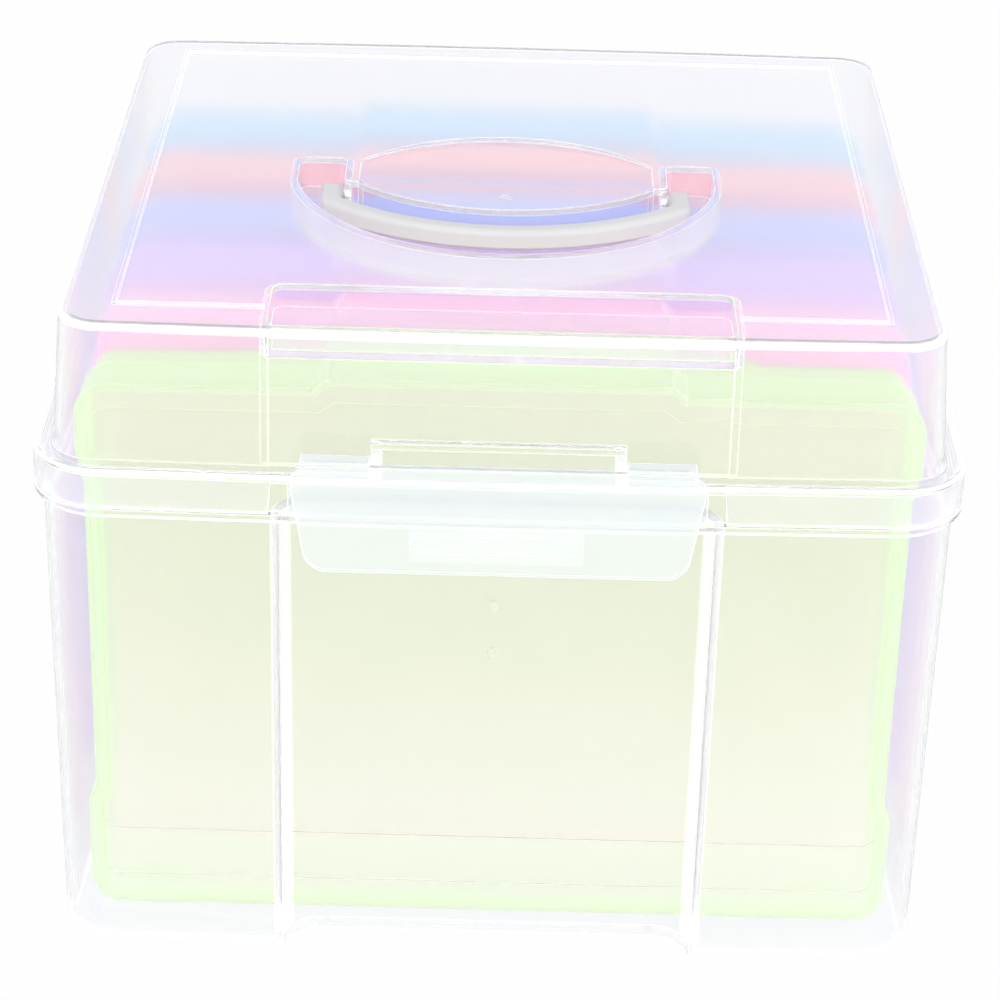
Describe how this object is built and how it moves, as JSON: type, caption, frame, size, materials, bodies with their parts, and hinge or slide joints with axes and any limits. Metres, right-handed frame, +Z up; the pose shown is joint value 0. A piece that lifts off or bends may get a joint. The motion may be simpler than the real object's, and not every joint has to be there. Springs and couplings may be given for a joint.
{
  "type": "photo keeper case",
  "caption": "Clear moulded carry box with a hinged lid, front latch and fold-down handle, holding upright tinted photo cases side by side.",
  "frame": {"origin": "middle of the base, on the surface that the box stands on", "axes": "+Z up, the front with the latch and the hollow channel faces -Y, +X to the right seen from the front"},
  "size_m": [0.209, 0.2129, 0.1605],
  "materials": {
    "clear_body": "clear moulded polypropylene, slightly hazy",
    "clear_lid": "clear moulded polypropylene, slightly hazy",
    "milky_latch": "milky natural polypropylene",
    "grey_handle": "light grey moulded plastic",
    "tinted_green": "tinted clear moulded polypropylene",
    "tinted_pink": "tinted clear moulded polypropylene",
    "tinted_violet": "tinted clear moulded polypropylene",
    "tinted_blue": "tinted clear moulded polypropylene",
    "tinted_coral": "tinted clear moulded polypropylene",
    "tinted_light_blue": "tinted clear moulded polypropylene"
  },
  "bodies": {
    "case_body": {"case_body": "clear_body"},
    "lid": {"lid": "clear_lid"},
    "front_latch": {"front_latch": "milky_latch"},
    "carry_handle": {"carry_handle": "grey_handle"},
    "photo_case_green": {"photo_case_green_cover": "tinted_green", "photo_case_green_tray": "tinted_green"},
    "photo_case_pink": {"photo_case_pink_cover": "tinted_pink", "photo_case_pink_tray": "tinted_pink"},
    "photo_case_violet": {"photo_case_violet_cover": "tinted_violet", "photo_case_violet_tray": "tinted_violet"},
    "photo_case_blue": {"photo_case_blue_cover": "tinted_blue", "photo_case_blue_tray": "tinted_blue"},
    "photo_case_coral": {"photo_case_coral_cover": "tinted_coral", "photo_case_coral_tray": "tinted_coral"},
    "photo_case_light_blue": {"photo_case_light_blue_cover": "tinted_light_blue", "photo_case_light_blue_tray": "tinted_light_blue"}
  },
  "joints": [
    {"name": "lid_hinge", "type": "hinge", "parent": "case_body", "child": "lid", "pos_m": [0, 0.10515, 0.1172], "axis": [-1, 0, 0], "range_deg": [0, 110]},
    {"name": "latch_hinge", "type": "hinge", "parent": "lid", "child": "front_latch", "pos_m": [0, -0.10055, 0.1306], "axis": [-1, 0, 0], "range_deg": [0, 90]},
    {"name": "handle_hinge", "type": "hinge", "parent": "lid", "child": "carry_handle", "pos_m": [0, -0.003, 0.1549], "axis": [-1, 0, 0], "range_deg": [0, 110]},
    {"name": "green_case_lift", "type": "slide", "parent": "case_body", "child": "photo_case_green", "axis": [0, 0, 1], "range_m": [0, 0.005]},
    {"name": "pink_case_lift", "type": "slide", "parent": "case_body", "child": "photo_case_pink", "axis": [0, 0, 1], "range_m": [0, 0.005]},
    {"name": "violet_case_lift", "type": "slide", "parent": "case_body", "child": "photo_case_violet", "axis": [0, 0, 1], "range_m": [0, 0.005]},
    {"name": "blue_case_lift", "type": "slide", "parent": "case_body", "child": "photo_case_blue", "axis": [0, 0, 1], "range_m": [0, 0.005]},
    {"name": "coral_case_lift", "type": "slide", "parent": "case_body", "child": "photo_case_coral", "axis": [0, 0, 1], "range_m": [0, 0.005]},
    {"name": "light_blue_case_lift", "type": "slide", "parent": "case_body", "child": "photo_case_light_blue", "axis": [0, 0, 1], "range_m": [0, 0.005]}
  ]
}
